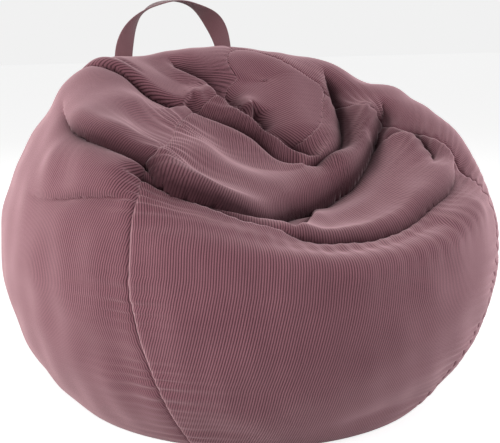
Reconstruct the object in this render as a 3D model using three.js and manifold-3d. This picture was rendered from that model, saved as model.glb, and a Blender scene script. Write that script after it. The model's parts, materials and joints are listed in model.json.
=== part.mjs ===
// Bean bag chair: a slumped corduroy cover with a seat hollow and a webbing handle,
// a zip up the centre-back seam, and inside it a zipped liner full of beads.
// Millimetres, +Z up, front towards -Y, origin on the floor under the middle.
import * as THREE from 'three';
import Module from 'manifold-3d';

const wasm = await Module();
wasm.setup();
const { Manifold } = wasm;

// ---- driving sizes ----
const baseRadius = 350;          // where the cover leaves the floor
const wallCentreRadius = 95;     // the side wall of each upright section is an arc round this point
const wallCentreHeight = 275;
const wallRadius = 375;
const crestRadiusFront = 80;     // roundness of the rim of the seat hollow
const crestRadiusBack = 90;
const crestAngleMean = 43;       // how far up the wall arc the rim begins, in degrees
const crestAngleSwing = 31;      // less at the front, more at the back
const innerSlopeFront = 26;      // how steeply the rim turns down into the hollow, in degrees
const innerSlopeBack = 32;
const capCentre = new THREE.Vector3(90, 84, 566);
const capSlope = 0.7;            // rise of the backrest per unit of depth at the cap
const capMeanRadius = 82.5;
const capCornerSwing = 17.5;     // corners stand out and edges stand in by this much
const hollowPull = 0.95;         // strength of the curve that dips into the hollow

const seamAngles = [-54, 46, 180, 306];   // degrees from the front, towards +X; the last is the first again
const coverSteps = 16;           // facets round each cover panel
const linerSteps = 8;
const wallRows = 14;
const topRows = 9;
const capRows = 3;

const coverThickness = 3;
const linerDepth = 10.5;
const linerThickness = 1.2;
const fillingDepth = 20;
const seamGap = 0.35;            // clear space left on each side of a seam
const slotHalf = 4;              // half width of the opening that each zip fills

const zipLow = -36;              // ends of the outer zip, degrees up the wall arc
const zipHigh = 43;
const linerZipLow = -32;
const linerZipHigh = 30;
const zipStep = 2.5;
const tapeWidth = 13;
const tapeThickness = 0.8;
const coilInner = 0.9;
const coilOuter = 3.3;
const tapeDepth = 4.8;
const linerTapeDepth = 14.2;

const strapWidth = 40;
const strapThickness = 2.6;
const handleFootX = 124;         // middle of each foot, either side of the handle's middle
const handleLineY = 255;         // the line that the loop folds along
const handleLineZ = 602.8;
const handleTurn = 7.4;          // degrees round the chair, from the back seam to the handle's middle
const handleRise = 122;
const handleFootGap = 6.4;       // from the fold line up to the loop
const handleEndLength = 42;

const corduroyColour = 0x8a626a;
const webbingColour = 0x835a61;
const threadColour = 0x6d474f;
const tapeColour = 0x6a474e;
const coilColour = 0x54383f;
const metalColour = 0xb4b1ab;
const linerColour = 0xe6e1d8;
const linerZipColour = 0xd9d4ca;
const beadColour = 0xf3f3f0;
const labelColour = 0xf0eeea;

const group = new THREE.Group();
group.name = 'bean_bag_chair';

const radians = THREE.MathUtils.degToRad;
const lerp = THREE.MathUtils.lerp;

// ---- the cover's outer surface ----
// phi runs round from the front towards +X. t is 0 to 1 up the wall arc, 1 to 2 over the rim,
// and 2 to 3 down through the hollow and up the backrest to the middle of the cap.

const wallStart = -Math.asin(wallCentreHeight / wallRadius);

function crestAngle(phi) {
  return radians(crestAngleMean - crestAngleSwing * Math.cos(phi));
}

function crestRadius(phi) {
  return lerp(crestRadiusFront, crestRadiusBack, (1 - Math.cos(phi)) / 2);
}

function innerSlope(phi) {
  return radians(lerp(innerSlopeFront, innerSlopeBack, (1 - Math.cos(phi)) / 2));
}

function outwardAt(phi) {
  return new THREE.Vector3(Math.sin(phi), -Math.cos(phi), 0);
}

function atRadius(phi, radius, height) {
  const point = outwardAt(phi).multiplyScalar(radius);
  point.z = height;
  return point;
}

function wallPoint(phi, angle) {
  const radius = wallCentreRadius + wallRadius * Math.cos(angle);
  return atRadius(phi, radius, wallCentreHeight + wallRadius * Math.sin(angle));
}

function crestPoint(phi, angle) {
  const begin = crestAngle(phi);
  const round = crestRadius(phi);
  const middleRadius = wallCentreRadius + (wallRadius - round) * Math.cos(begin);
  const middleHeight = wallCentreHeight + (wallRadius - round) * Math.sin(begin);
  return atRadius(phi, middleRadius + round * Math.cos(angle), middleHeight + round * Math.sin(angle));
}

function seatPoint(phi, s) {
  const slope = innerSlope(phi);
  const start = crestPoint(phi, Math.PI / 2 + slope);
  const reach = start.distanceTo(capCentre) * hollowPull;
  const leave = outwardAt(phi).multiplyScalar(-Math.cos(slope));
  leave.z = -Math.sin(slope);
  leave.multiplyScalar(reach);
  const arrive = capCentre.clone().sub(start).setZ(0).normalize();
  arrive.z = arrive.y * capSlope;
  arrive.normalize().multiplyScalar(reach);
  const s2 = s * s;
  const s3 = s2 * s;
  const point = start.multiplyScalar(2 * s3 - 3 * s2 + 1);
  point.addScaledVector(leave, s3 - 2 * s2 + s);
  point.addScaledVector(capCentre, 3 * s2 - 2 * s3);
  point.addScaledVector(arrive, s3 - s2);
  return point;
}

function surfacePoint(phi, t) {
  if (t <= 1) {
    return wallPoint(phi, lerp(wallStart, crestAngle(phi), t));
  }
  if (t <= 2) {
    return crestPoint(phi, lerp(crestAngle(phi), Math.PI / 2 + innerSlope(phi), t - 1));
  }
  return seatPoint(phi, t - 2);
}

function surfaceNormal(phi, t) {
  if (t > 2.999) {
    return new THREE.Vector3(0, -capSlope, 1).normalize();
  }
  const step = 1e-4;
  const round = surfacePoint(phi + step, t).sub(surfacePoint(phi - step, t));
  const up = surfacePoint(phi, t + step).sub(surfacePoint(phi, t - step));
  return round.cross(up).normalize();
}

function layerPoint(phi, t, depth) {
  return surfacePoint(phi, t).addScaledVector(surfaceNormal(phi, t), -depth);
}

// A layer starts where its own wall arc meets its own floor.
function layerStart(phi, depth) {
  const angle = -Math.asin((wallCentreHeight - depth) / (wallRadius - depth));
  return (angle - wallStart) / (crestAngle(phi) - wallStart);
}

// The cap is a rounded triangle with a corner at each seam.
function capRadius(phi) {
  const turn = THREE.MathUtils.euclideanModulo(THREE.MathUtils.radToDeg(phi) - seamAngles[0], 360) + seamAngles[0];
  const index = seamAngles.findLastIndex((angle) => turn >= angle - 1e-9);
  const from = seamAngles[Math.min(index, 2)];
  const to = seamAngles[Math.min(index, 2) + 1];
  return capMeanRadius + capCornerSwing * Math.cos((2 * Math.PI * (turn - from)) / (to - from));
}

// The angle of every facet edge, panel by panel, in radians
function facetAngles(steps) {
  const angles = [];
  for (let index = 0; index < 3; index += 1) {
    for (let i = 0; i < steps; i += 1) {
      angles.push(radians(lerp(seamAngles[index], seamAngles[index + 1], i / steps)));
    }
  }
  return angles;
}

// t at which the surface is the given distance from the cap's middle
function distanceRow(phi, distance) {
  let low = 1;
  let high = 3;
  for (let i = 0; i < 40; i += 1) {
    const middle = (low + high) / 2;
    if (surfacePoint(phi, middle).distanceTo(capCentre) > distance) {
      low = middle;
    } else {
      high = middle;
    }
  }
  return (low + high) / 2;
}

// ---- closed bodies from grids of points ----

function makeMesh(name, positions, indices, material) {
  const geometry = new THREE.BufferGeometry();
  geometry.setAttribute('position', new THREE.Float32BufferAttribute(positions, 3));
  geometry.setIndex(indices);
  geometry.computeVertexNormals();
  addMesh(name, geometry, material);
}

function addMesh(name, geometry, material) {
  const mesh = new THREE.Mesh(geometry, material);
  mesh.name = name;
  group.add(mesh);
  return mesh;
}

function pushQuad(indices, a, b, c, d) {
  indices.push(a, b, c, a, c, d);
}

function pushPoints(positions, points) {
  const first = positions.length / 3;
  points.forEach((point) => positions.push(point.x, point.y, point.z));
  return first;
}

// A thin sheet with four edges. outer and inner are columns of points, left to right.
function sheetBody(name, outer, inner, material) {
  const positions = [];
  const indices = [];
  const out = outer.map((column) => pushPoints(positions, column));
  const into = inner.map((column) => pushPoints(positions, column));
  const last = outer.length - 1;
  const top = outer[0].length - 1;
  for (let i = 0; i < last; i += 1) {
    for (let j = 0; j < top; j += 1) {
      pushQuad(indices, out[i] + j, out[i + 1] + j, out[i + 1] + j + 1, out[i] + j + 1);
      pushQuad(indices, into[i] + j, into[i] + j + 1, into[i + 1] + j + 1, into[i + 1] + j);
    }
    pushQuad(indices, out[i + 1], out[i], into[i], into[i + 1]);
    pushQuad(indices, out[i] + top, out[i + 1] + top, into[i + 1] + top, into[i] + top);
  }
  for (let j = 0; j < top; j += 1) {
    pushQuad(indices, out[0] + j, out[0] + j + 1, into[0] + j + 1, into[0] + j);
    pushQuad(indices, out[last] + j + 1, out[last] + j, into[last] + j, into[last] + j + 1);
  }
  makeMesh(name, positions, indices, material);
}

// A thin dished disc. Rings run from the rim to the middle, and each side has its middle point.
function dishBody(name, outer, inner, outerMiddle, innerMiddle, material) {
  const positions = [];
  const indices = [];
  const out = outer.map((ring) => pushPoints(positions, ring));
  const into = inner.map((ring) => pushPoints(positions, ring));
  const outMiddle = pushPoints(positions, [outerMiddle]);
  const intoMiddle = pushPoints(positions, [innerMiddle]);
  const count = outer[0].length;
  const last = outer.length - 1;
  for (let i = 0; i < count; i += 1) {
    const k = (i + 1) % count;
    for (let j = 0; j < last; j += 1) {
      pushQuad(indices, out[j] + i, out[j] + k, out[j + 1] + k, out[j + 1] + i);
      pushQuad(indices, into[j] + i, into[j + 1] + i, into[j + 1] + k, into[j] + k);
    }
    indices.push(out[last] + i, out[last] + k, outMiddle);
    indices.push(into[last] + i, intoMiddle, into[last] + k);
    pushQuad(indices, out[0] + k, out[0] + i, into[0] + i, into[0] + k);
  }
  makeMesh(name, positions, indices, material);
}

// A bar carried along a path. Each section is a loop of corners, all with the same count.
function barBody(name, sections, material) {
  const positions = [];
  const indices = [];
  const rings = sections.map((section) => pushPoints(positions, section));
  const corners = sections[0].length;
  for (let i = 0; i < rings.length - 1; i += 1) {
    for (let j = 0; j < corners; j += 1) {
      const k = (j + 1) % corners;
      pushQuad(indices, rings[i] + j, rings[i] + k, rings[i + 1] + k, rings[i + 1] + j);
    }
  }
  const first = rings[0];
  const end = rings[rings.length - 1];
  for (let j = 1; j < corners - 1; j += 1) {
    indices.push(first, first + j + 1, first + j);
    indices.push(end, end + j, end + j + 1);
  }
  makeMesh(name, positions, indices, material);
}

function fabric(colour) {
  return new THREE.MeshStandardMaterial({ color: colour, roughness: 0.95, metalness: 0 });
}

function metal(colour) {
  return new THREE.MeshStandardMaterial({ color: colour, roughness: 0.35, metalness: 0.9 });
}

function plastic(colour) {
  return new THREE.MeshStandardMaterial({ color: colour, roughness: 0.5, metalness: 0 });
}

// ---- panels ----

// Half width of the opening at the centre back: wide beside the zip, a plain seam elsewhere.
function openingHalf(angleDegrees, low, high) {
  const inside = Math.min(angleDegrees - (low - 11), high + 12 - angleDegrees) / 3;
  return lerp(seamGap, slotHalf, THREE.MathUtils.clamp(inside, 0, 1));
}

function edgeShift(phi, t, low, high) {
  const step = 1e-4;
  const across = surfacePoint(phi + step, t).distanceTo(surfacePoint(phi - step, t)) / (2 * step);
  let half = seamGap;
  const atBack = Math.abs(phi - Math.PI) < 0.01;
  if (atBack && t <= 1) {
    const angle = lerp(wallStart, crestAngle(phi), t);
    half = openingHalf(THREE.MathUtils.radToDeg(angle), low, high);
  }
  return half / across;
}

function panelColumn(phi, side, spec, depth) {
  const column = [];
  const start = layerStart(phi, spec.depth);
  const end = distanceRow(phi, capRadius(phi) + seamGap);
  for (let j = 0; j <= wallRows + topRows; j += 1) {
    let t = lerp(start, 1, j / wallRows);
    if (j > wallRows) {
      t = lerp(1, end, (j - wallRows) / topRows);
    }
    const shift = side * edgeShift(phi, t, spec.zipLow, spec.zipHigh);
    column.push(layerPoint(phi + shift, t, depth));
  }
  return column;
}

function sidePanel(name, index, spec) {
  const outer = [];
  const inner = [];
  for (let i = 0; i <= spec.steps; i += 1) {
    const phi = radians(lerp(seamAngles[index], seamAngles[index + 1], i / spec.steps));
    let side = 0;
    if (i === 0) {
      side = 1;
    } else if (i === spec.steps) {
      side = -1;
    }
    outer.push(panelColumn(phi, side, spec, spec.depth));
    inner.push(panelColumn(phi, side, spec, spec.depth + spec.thickness));
  }
  sheetBody(name, outer, inner, fabric(spec.colour));
}

function topCap(name, spec) {
  const outer = [];
  const inner = [];
  const angles = facetAngles(spec.steps);
  for (let j = 0; j < capRows; j += 1) {
    const outerRing = [];
    const innerRing = [];
    angles.forEach((phi) => {
      const distance = (capRadius(phi) - seamGap) * (1 - j / capRows);
      const t = distanceRow(phi, distance);
      outerRing.push(layerPoint(phi, t, spec.depth));
      innerRing.push(layerPoint(phi, t, spec.depth + spec.thickness));
    });
    outer.push(outerRing);
    inner.push(innerRing);
  }
  const outerMiddle = layerPoint(0, 3, spec.depth);
  const innerMiddle = layerPoint(0, 3, spec.depth + spec.thickness);
  dishBody(name, outer, inner, outerMiddle, innerMiddle, fabric(spec.colour));
}

function basePanel(name, spec, radius) {
  const low = spec.depth;
  const high = spec.depth + spec.thickness;
  const geometry = new THREE.CylinderGeometry(radius, radius, high - low, 3 * spec.steps);
  geometry.rotateX(Math.PI / 2);
  geometry.translate(0, 0, (low + high) / 2);
  addMesh(name, geometry, fabric(spec.colour));
}

function beadFilling() {
  const positions = [];
  const indices = [];
  const angles = facetAngles(linerSteps);
  const bottom = pushPoints(positions, [new THREE.Vector3(0, 0, fillingDepth)]);
  const columns = [];
  angles.forEach((phi) => {
    const start = layerStart(phi, fillingDepth);
    const end = distanceRow(phi, capRadius(phi));
    const column = [];
    for (let j = 0; j <= wallRows + topRows + 2; j += 1) {
      let t = lerp(start, 1, j / wallRows);
      if (j > wallRows) {
        t = lerp(1, end, (j - wallRows) / topRows);
      }
      if (j > wallRows + topRows) {
        t = distanceRow(phi, capRadius(phi) * (1 - (j - wallRows - topRows) / 3));
      }
      column.push(layerPoint(phi, t, fillingDepth));
    }
    columns.push(pushPoints(positions, column));
  });
  const count = angles.length;
  const top = wallRows + topRows + 2;
  const peak = pushPoints(positions, [layerPoint(0, 3, fillingDepth)]);
  for (let i = 0; i < count; i += 1) {
    const here = columns[i];
    const next = columns[(i + 1) % count];
    for (let j = 0; j < top; j += 1) {
      pushQuad(indices, here + j, next + j, next + j + 1, here + j + 1);
    }
    indices.push(bottom, next, here);
    indices.push(here + top, next + top, peak);
  }
  makeMesh('bead_filling', positions, indices, fabric(beadColour));
}

// ---- zips, on the wall arc of the centre back ----

function backPoint(x, angleDegrees, depth) {
  const angle = radians(angleDegrees);
  const y = wallCentreRadius + (wallRadius - depth) * Math.cos(angle);
  return new THREE.Vector3(x, y, wallCentreHeight + (wallRadius - depth) * Math.sin(angle));
}

// A rectangular bar between two sideways limits and two depths, up the arc from low to high
function arcBar(name, low, high, x0, x1, shallow, deep, material) {
  const sections = [];
  const count = Math.max(1, Math.round((high - low) / zipStep));
  for (let i = 0; i <= count; i += 1) {
    const angle = lerp(low, high, i / count);
    sections.push([
      backPoint(x0, angle, shallow),
      backPoint(x0, angle, deep),
      backPoint(x1, angle, deep),
      backPoint(x1, angle, shallow),
    ]);
  }
  barBody(name, sections, material);
}

function zipHalves(prefix, low, high, depth, tape, coil) {
  const deep = depth + tapeThickness;
  const coilTop = depth - 3.1;
  arcBar(`${prefix}tape_left`, low, high, -tapeWidth, -coilInner, depth, deep, fabric(tape));
  arcBar(`${prefix}tape_right`, low, high, coilInner, tapeWidth, depth, deep, fabric(tape));
  arcBar(`${prefix}coil_left`, low + 1, high - 1, -coilOuter, -coilInner, coilTop, depth - 0.3, plastic(coil));
  arcBar(`${prefix}coil_right`, low + 1, high - 1, coilInner, coilOuter, coilTop, depth - 0.3, plastic(coil));
}

function zipStops(prefix, low, high, depth, colour) {
  const top = depth - 3.4;
  arcBar(`${prefix}bottom_stop`, low + 0.1, low + 0.7, -coilOuter, coilOuter, top, depth - 0.3, metal(colour));
  arcBar(`${prefix}top_stop`, high - 0.7, high - 0.1, -coilOuter, coilOuter, top, depth - 0.3, metal(colour));
}

// ---- placing flat parts on the back arc ----
// The local frame has x to the row's +X, y up the arc and z outwards.

function backFrame(angleDegrees, depth) {
  const angle = radians(angleDegrees);
  const up = new THREE.Vector3(0, -Math.sin(angle), Math.cos(angle));
  const out = new THREE.Vector3(0, Math.cos(angle), Math.sin(angle));
  const side = up.clone().cross(out);
  const matrix = new THREE.Matrix4().makeBasis(side, up, out);
  matrix.setPosition(backPoint(0, angleDegrees, depth));
  return matrix;
}

// One closed body from overlapping boxes, each given by its low and high corner.
function joinBoxes(boxes) {
  const solids = boxes.map(([low, high]) => {
    const size = [high[0] - low[0], high[1] - low[1], high[2] - low[2]];
    return Manifold.cube(size).translate(low);
  });
  return toGeometry(Manifold.union(solids));
}

function toGeometry(solid) {
  const mesh = solid.getMesh();
  const geometry = new THREE.BufferGeometry();
  geometry.setAttribute('position', new THREE.Float32BufferAttribute(mesh.vertProperties, 3));
  geometry.setIndex(Array.from(mesh.triVerts));
  geometry.computeVertexNormals();
  return geometry;
}

// Two plates joined by a thin neck that runs between the coils
function slider(name, angleDegrees, outerFace, innerFace, withBail) {
  const boxes = [
    [[-3.8, -5.5, outerFace], [3.8, 5.5, outerFace + 1.4]],
    [[-0.5, -1.6, innerFace - 0.2], [0.5, 1.6, outerFace + 0.2]],
    [[-3.8, -5, innerFace - 1], [3.8, 5, innerFace]],
  ];
  if (withBail) {
    const foot = outerFace + 1.2;
    boxes.push([[-1, -3, foot], [1, -2.1, foot + 3.2]]);
    boxes.push([[-1, 2.1, foot], [1, 3, foot + 3.2]]);
    boxes.push([[-1, -3, foot + 2.4], [1, 3, foot + 3.2]]);
  }
  const mesh = addMesh(name, joinBoxes(boxes), metal(metalColour));
  mesh.applyMatrix4(backFrame(angleDegrees, 0));
}

// A tab hanging from the bail: a plate with an eye, its top bar held under the bail.
function pullTab(name, angleDegrees, barHeight) {
  const shape = new THREE.Shape();
  shape.moveTo(-3.4, 0.5);
  shape.lineTo(-3.4, -24);
  shape.lineTo(-2, -26);
  shape.lineTo(2, -26);
  shape.lineTo(3.4, -24);
  shape.lineTo(3.4, 0.5);
  shape.closePath();
  const eye = new THREE.Path();
  eye.moveTo(-1.6, -0.5);
  eye.lineTo(1.6, -0.5);
  eye.lineTo(1.6, -4.6);
  eye.lineTo(-1.6, -4.6);
  eye.closePath();
  shape.holes.push(eye);
  const geometry = new THREE.ExtrudeGeometry(shape, { depth: 1, bevelEnabled: false });
  geometry.translate(0, 0, -0.5);
  // Stood upright with its plate across the chair, so that it hangs straight down.
  geometry.rotateX(Math.PI / 2);
  const mesh = addMesh(name, geometry, metal(metalColour));
  mesh.position.copy(backPoint(0, angleDegrees, -barHeight));
  return mesh;
}

// ---- handle ----

function handleRotation() {
  return new THREE.Matrix4().makeRotationZ(THREE.MathUtils.degToRad(handleTurn));
}

// The sewn-down ends lie flat on the cover, below the line that the loop folds along.
function footFrame(side, lift) {
  const reach = Math.hypot(handleFootX, handleLineY);
  const phi = Math.PI - side * Math.asin(handleFootX / reach);
  const lineAngle = Math.acos((reach - wallCentreRadius) / wallRadius);
  const angle = lineAngle - (handleEndLength / 2 + 1) / wallRadius;
  const out = outwardAt(phi).multiplyScalar(Math.cos(angle));
  out.z = Math.sin(angle);
  const across = new THREE.Vector3(1, 0, 0);
  across.addScaledVector(out, -across.dot(out)).normalize();
  const up = out.clone().cross(across);
  const matrix = new THREE.Matrix4().makeBasis(across, up, out);
  matrix.setPosition(wallPoint(phi, angle).addScaledVector(out, lift));
  return matrix.premultiply(handleRotation());
}

function handleEnd(name, side) {
  const geometry = new THREE.BoxGeometry(strapWidth, handleEndLength, strapThickness);
  geometry.translate(0, 0, strapThickness / 2);
  const mesh = addMesh(name, geometry, fabric(webbingColour));
  mesh.applyMatrix4(footFrame(side, 0.4));
}

// A sewn square with its two diagonals
function handleStitch(name, side) {
  const half = 14;
  const line = 1.4;
  const shape = new THREE.Shape();
  shape.moveTo(-half, -half);
  shape.lineTo(half, -half);
  shape.lineTo(half, half);
  shape.lineTo(-half, half);
  shape.closePath();
  const inside = half - line;
  const middle = line;
  for (let i = 0; i < 4; i += 1) {
    const turn = (Math.PI / 2) * i;
    const hole = new THREE.Path();
    const corners = [[inside - middle, inside], [-inside + middle, inside], [0, middle]];
    corners.forEach(([x, y], k) => {
      const px = x * Math.cos(turn) - y * Math.sin(turn);
      const py = x * Math.sin(turn) + y * Math.cos(turn);
      if (k === 0) {
        hole.moveTo(px, py);
      } else {
        hole.lineTo(px, py);
      }
    });
    hole.closePath();
    shape.holes.push(hole);
  }
  const geometry = new THREE.ExtrudeGeometry(shape, { depth: 0.7, bevelEnabled: false });
  const mesh = addMesh(name, geometry, fabric(threadColour));
  mesh.applyMatrix4(footFrame(side, 0.4 + strapThickness + 0.3));
}

// Middle of the strap along the loop, s from -1 at one foot to 1 at the other
function loopPoint(s) {
  const rise = handleRise * Math.cos((Math.PI / 2) * s) ** 0.95;
  const x = handleFootX * Math.sin((Math.PI / 2) * s);
  return new THREE.Vector3(x, handleLineY, handleLineZ + handleFootGap + rise);
}

// The strap is flat to the front at its feet and flat to the sky at its top.
function handleLoop() {
  const sections = [];
  const count = 28;
  for (let i = 0; i <= count; i += 1) {
    const s = -1 + (2 * i) / count;
    const centre = loopPoint(s);
    const ahead = loopPoint(Math.min(1, s + 0.01));
    const tangent = ahead.sub(loopPoint(Math.max(-1, s - 0.01))).normalize();
    const flat = new THREE.Vector3(0, 1, 0).cross(tangent);
    if (Math.abs(s) === 1) {
      // each foot is cut to the slope of the cover beneath it
      flat.set(1, 0, -0.5 * s).normalize();
    }
    const turn = THREE.MathUtils.smoothstep(1 - Math.abs(s), 0.04, 0.42) * (Math.PI / 2);
    const wide = flat.clone().multiplyScalar(Math.cos(turn));
    wide.y = Math.sin(turn);
    const thin = new THREE.Vector3().crossVectors(tangent, wide).normalize();
    if (Math.abs(s) === 1) {
      thin.set(0, 1, 0);
    }
    wide.multiplyScalar(strapWidth / 2);
    thin.multiplyScalar(strapThickness / 2);
    sections.push([
      centre.clone().add(wide).add(thin),
      centre.clone().sub(wide).add(thin),
      centre.clone().sub(wide).sub(thin),
      centre.clone().add(wide).sub(thin),
    ].map((corner) => corner.applyMatrix4(handleRotation())));
  }
  barBody('handle_loop', sections, fabric(webbingColour));
}

// ---- the whole chair ----

const coverSpec = {
  depth: 0,
  thickness: coverThickness,
  steps: coverSteps,
  zipLow,
  zipHigh,
  colour: corduroyColour,
};
const linerSpec = {
  depth: linerDepth,
  thickness: linerThickness,
  steps: linerSteps,
  zipLow: linerZipLow,
  zipHigh: linerZipHigh,
  colour: linerColour,
};

sidePanel('cover_front_panel', 0, coverSpec);
sidePanel('cover_right_panel', 1, coverSpec);
sidePanel('cover_left_panel', 2, coverSpec);
topCap('cover_top_cap', coverSpec);
basePanel('cover_base_panel', coverSpec, baseRadius - 3.6);

sidePanel('liner_front_panel', 0, linerSpec);
sidePanel('liner_right_panel', 1, linerSpec);
sidePanel('liner_left_panel', 2, linerSpec);
topCap('liner_top_cap', linerSpec);
basePanel('liner_base_panel', linerSpec, baseRadius - 12);
beadFilling();

zipHalves('zip_', zipLow, zipHigh, tapeDepth, tapeColour, coilColour);
zipStops('zip_', zipLow, zipHigh, tapeDepth, metalColour);
slider('zip_slider', zipLow + 2.2, 0.3, -6, true);
pullTab('zip_pull_tab', zipLow + 2.2, 2.6);

zipHalves('liner_zip_', linerZipLow, linerZipHigh, linerTapeDepth, linerZipColour, linerZipColour);
zipStops('liner_zip_', linerZipLow, linerZipHigh, linerTapeDepth, metalColour);
slider('liner_zip_slider', linerZipLow + 2.2, 1.2 - linerDepth, -linerTapeDepth - 1.2, false);

arcBar('care_label', -20, -12.5, -42, -17, 8.2, 8.7, fabric(labelColour));

handleLoop();
handleEnd('handle_end_left', -1);
handleEnd('handle_end_right', 1);
handleStitch('handle_stitch_left', -1);
handleStitch('handle_stitch_right', 1);

export default group;
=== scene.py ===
# Bean bag chair: slumped corduroy cover with a folded seat hollow, webbing handle and back zip.
# Metres, +Z up, front towards -Y.
import bpy
import json
import math
import numpy as np
from mathutils import Matrix, Vector


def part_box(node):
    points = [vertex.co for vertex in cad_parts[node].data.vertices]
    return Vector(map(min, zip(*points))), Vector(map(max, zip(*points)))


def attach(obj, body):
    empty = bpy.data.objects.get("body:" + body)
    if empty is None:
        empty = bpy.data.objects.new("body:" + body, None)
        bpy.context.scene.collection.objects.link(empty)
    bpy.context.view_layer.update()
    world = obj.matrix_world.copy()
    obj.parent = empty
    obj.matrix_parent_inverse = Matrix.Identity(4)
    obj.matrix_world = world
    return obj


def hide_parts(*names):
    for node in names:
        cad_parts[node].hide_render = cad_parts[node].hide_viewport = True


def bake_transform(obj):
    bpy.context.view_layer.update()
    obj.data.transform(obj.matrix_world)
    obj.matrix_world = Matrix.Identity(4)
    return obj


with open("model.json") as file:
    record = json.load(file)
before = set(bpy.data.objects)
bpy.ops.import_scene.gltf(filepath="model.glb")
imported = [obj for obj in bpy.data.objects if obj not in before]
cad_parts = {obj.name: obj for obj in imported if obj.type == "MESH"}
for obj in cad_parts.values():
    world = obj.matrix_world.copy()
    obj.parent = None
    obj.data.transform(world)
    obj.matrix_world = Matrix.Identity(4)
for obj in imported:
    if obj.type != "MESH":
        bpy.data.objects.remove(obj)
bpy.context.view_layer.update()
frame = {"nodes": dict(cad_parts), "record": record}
print("frame loaded", len(frame["nodes"]), "nodes")


# small helpers

def lerp(a, b, f):
    return a + (b - a) * f


def smooth(x):
    x = np.clip(x, 0, 1)
    return x * x * (3 - 2 * x)


def unit(v):
    return v / np.maximum(np.linalg.norm(v, axis=-1, keepdims=True), 1e-12)


# the plain shape: an arc for the wall, an arc for the rim, a curve through the hollow
# wall   r = centre r + R cos a, z = centre z + R sin a
# rim    the same with a smaller radius, tangent to the wall
# seat   cubic from the rim's inner end to the middle of the cap

form = {
    "wallCentre": (0.095, 0.275), "wallRadius": 0.375,
    "rimRadius": (0.080, 0.090),
    "rimAngle": 43.0, "rimSwing": 31.0,
    "frontDip": 7.0, "frontDipAt": -8.0, "frontDipWide": 30.0,
    "innerSlope": (26.0, 32.0),
    "capCentre": (0.090, 0.084, 0.566), "capSlope": 0.70,
    "capRadius": 0.082, "capCorner": 0.018, "capFront": 0.115,
    "seatPull": 0.95,
}


def meridians(phi, count=420):
    # Dense points up each upright section, from the floor to the cap's middle: (n, count, 3).
    t = np.linspace(0.0, 3.0, count)[None, :]
    phi = np.asarray(phi, float)[:, None]
    back = (1 - np.cos(phi)) / 2
    out = np.stack([np.sin(phi), -np.cos(phi)], -1)
    wallR, wallZ = form["wallCentre"]
    big = form["wallRadius"]
    start = -math.asin(wallZ / big)
    fromDip = (np.degrees(phi) - form["frontDipAt"] + 180) % 360 - 180
    dip = form["frontDip"] * np.exp(-(fromDip / form["frontDipWide"]) ** 2)
    rim = np.radians(form["rimAngle"] - form["rimSwing"] * np.cos(phi) - dip)
    slope = np.radians(lerp(*form["innerSlope"], back))
    small = lerp(*form["rimRadius"], back)
    wallAngle = lerp(start, rim, np.clip(t, 0, 1))
    rimAngle = lerp(rim, np.pi / 2 + slope, np.clip(t - 1, 0, 1))
    rimR = wallR + (big - small) * np.cos(rim) + small * np.cos(rimAngle)
    rimZ = wallZ + (big - small) * np.sin(rim) + small * np.sin(rimAngle)
    r = np.where(t <= 1, wallR + big * np.cos(wallAngle), rimR)
    z = np.where(t <= 1, wallZ + big * np.sin(wallAngle), rimZ)
    body = np.concatenate([out * r[..., None], z[..., None]], -1)
    cap = np.array(form["capCentre"])
    edge = np.concatenate([out[:, 0] * rimR[:, -1:], rimZ[:, -1:]], -1)
    reach = np.linalg.norm(edge - cap, axis=-1, keepdims=True) * form["seatPull"]
    leave = np.concatenate([-out[:, 0] * np.cos(slope), -np.sin(slope)], -1) * reach
    arrive = cap - edge
    arrive[:, 2] = 0
    arrive = unit(arrive)
    arrive[:, 2] = arrive[:, 1] * form["capSlope"]
    arrive = unit(arrive) * reach
    s = np.clip(t - 2, 0, 1)[..., None]
    seat = (edge[:, None] * (2 * s**3 - 3 * s**2 + 1) + leave[:, None] * (s**3 - 2 * s**2 + s)
            + cap * (3 * s**2 - 2 * s**3) + arrive[:, None] * (s**3 - s**2))
    return np.where((t > 2)[..., None], seat, body)


def shapeTable(turns=720, rows=400):
    # The plain shape on an even table of angles and heights.
    angles = np.linspace(-360, 360, 2 * turns + 1)
    dense = meridians(np.radians(angles[:turns + 1]))
    run = np.cumsum(np.linalg.norm(np.diff(dense, axis=1), axis=-1), 1)
    run = np.concatenate([np.zeros((turns + 1, 1)), run], 1) / run[:, -1:]
    height = np.linspace(0, 1, rows + 1)
    table = np.stack([np.stack([np.interp(height, r, d[:, k]) for k in range(3)], -1)
                      for r, d in zip(run, dense)])
    return np.concatenate([table, table[1:]])


table = shapeTable()


def plainPoint(phiDegrees, height):
    # Points of the plain shape, height being the share of the way up each section, 0 to 1.
    phi = np.atleast_1d(phiDegrees).astype(float)
    height = np.atleast_1d(height).astype(float)
    u = np.clip((phi + 360) * 2, 0, table.shape[0] - 1.001)
    v = np.clip(height * (table.shape[1] - 1), 0, table.shape[1] - 1.001)
    i, j = u.astype(int), v.astype(int)
    a, b = (u - i)[:, None], (v - j)[:, None]
    return lerp(lerp(table[i, j], table[i + 1, j], a), lerp(table[i, j + 1], table[i + 1, j + 1], a), b)


# the grid: columns between the seams, rows up the sections

seams = {
    "heights": (0.00, 0.15, 0.30, 0.45, 0.55, 0.65, 0.75, 0.85, 0.93, 1.00),
    "frontLeft": (-46, -49, -53, -54, -56, -66, -80, -92, -100, -104),
    "frontRight": (26, 30, 40, 44, 50, 60, 74, 88, 96, 100),
    "back": (180, 180, 180, 180, 180, 178, 172, 164, 158, 156),
}
grid = {"across": 150, "up": 230, "cap": 30, "zipSlot": 0.0075, "zipEnds": (-40.0, 47.0)}


def seamAngle(name, height):
    return np.interp(height, seams["heights"], seams[name])


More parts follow.
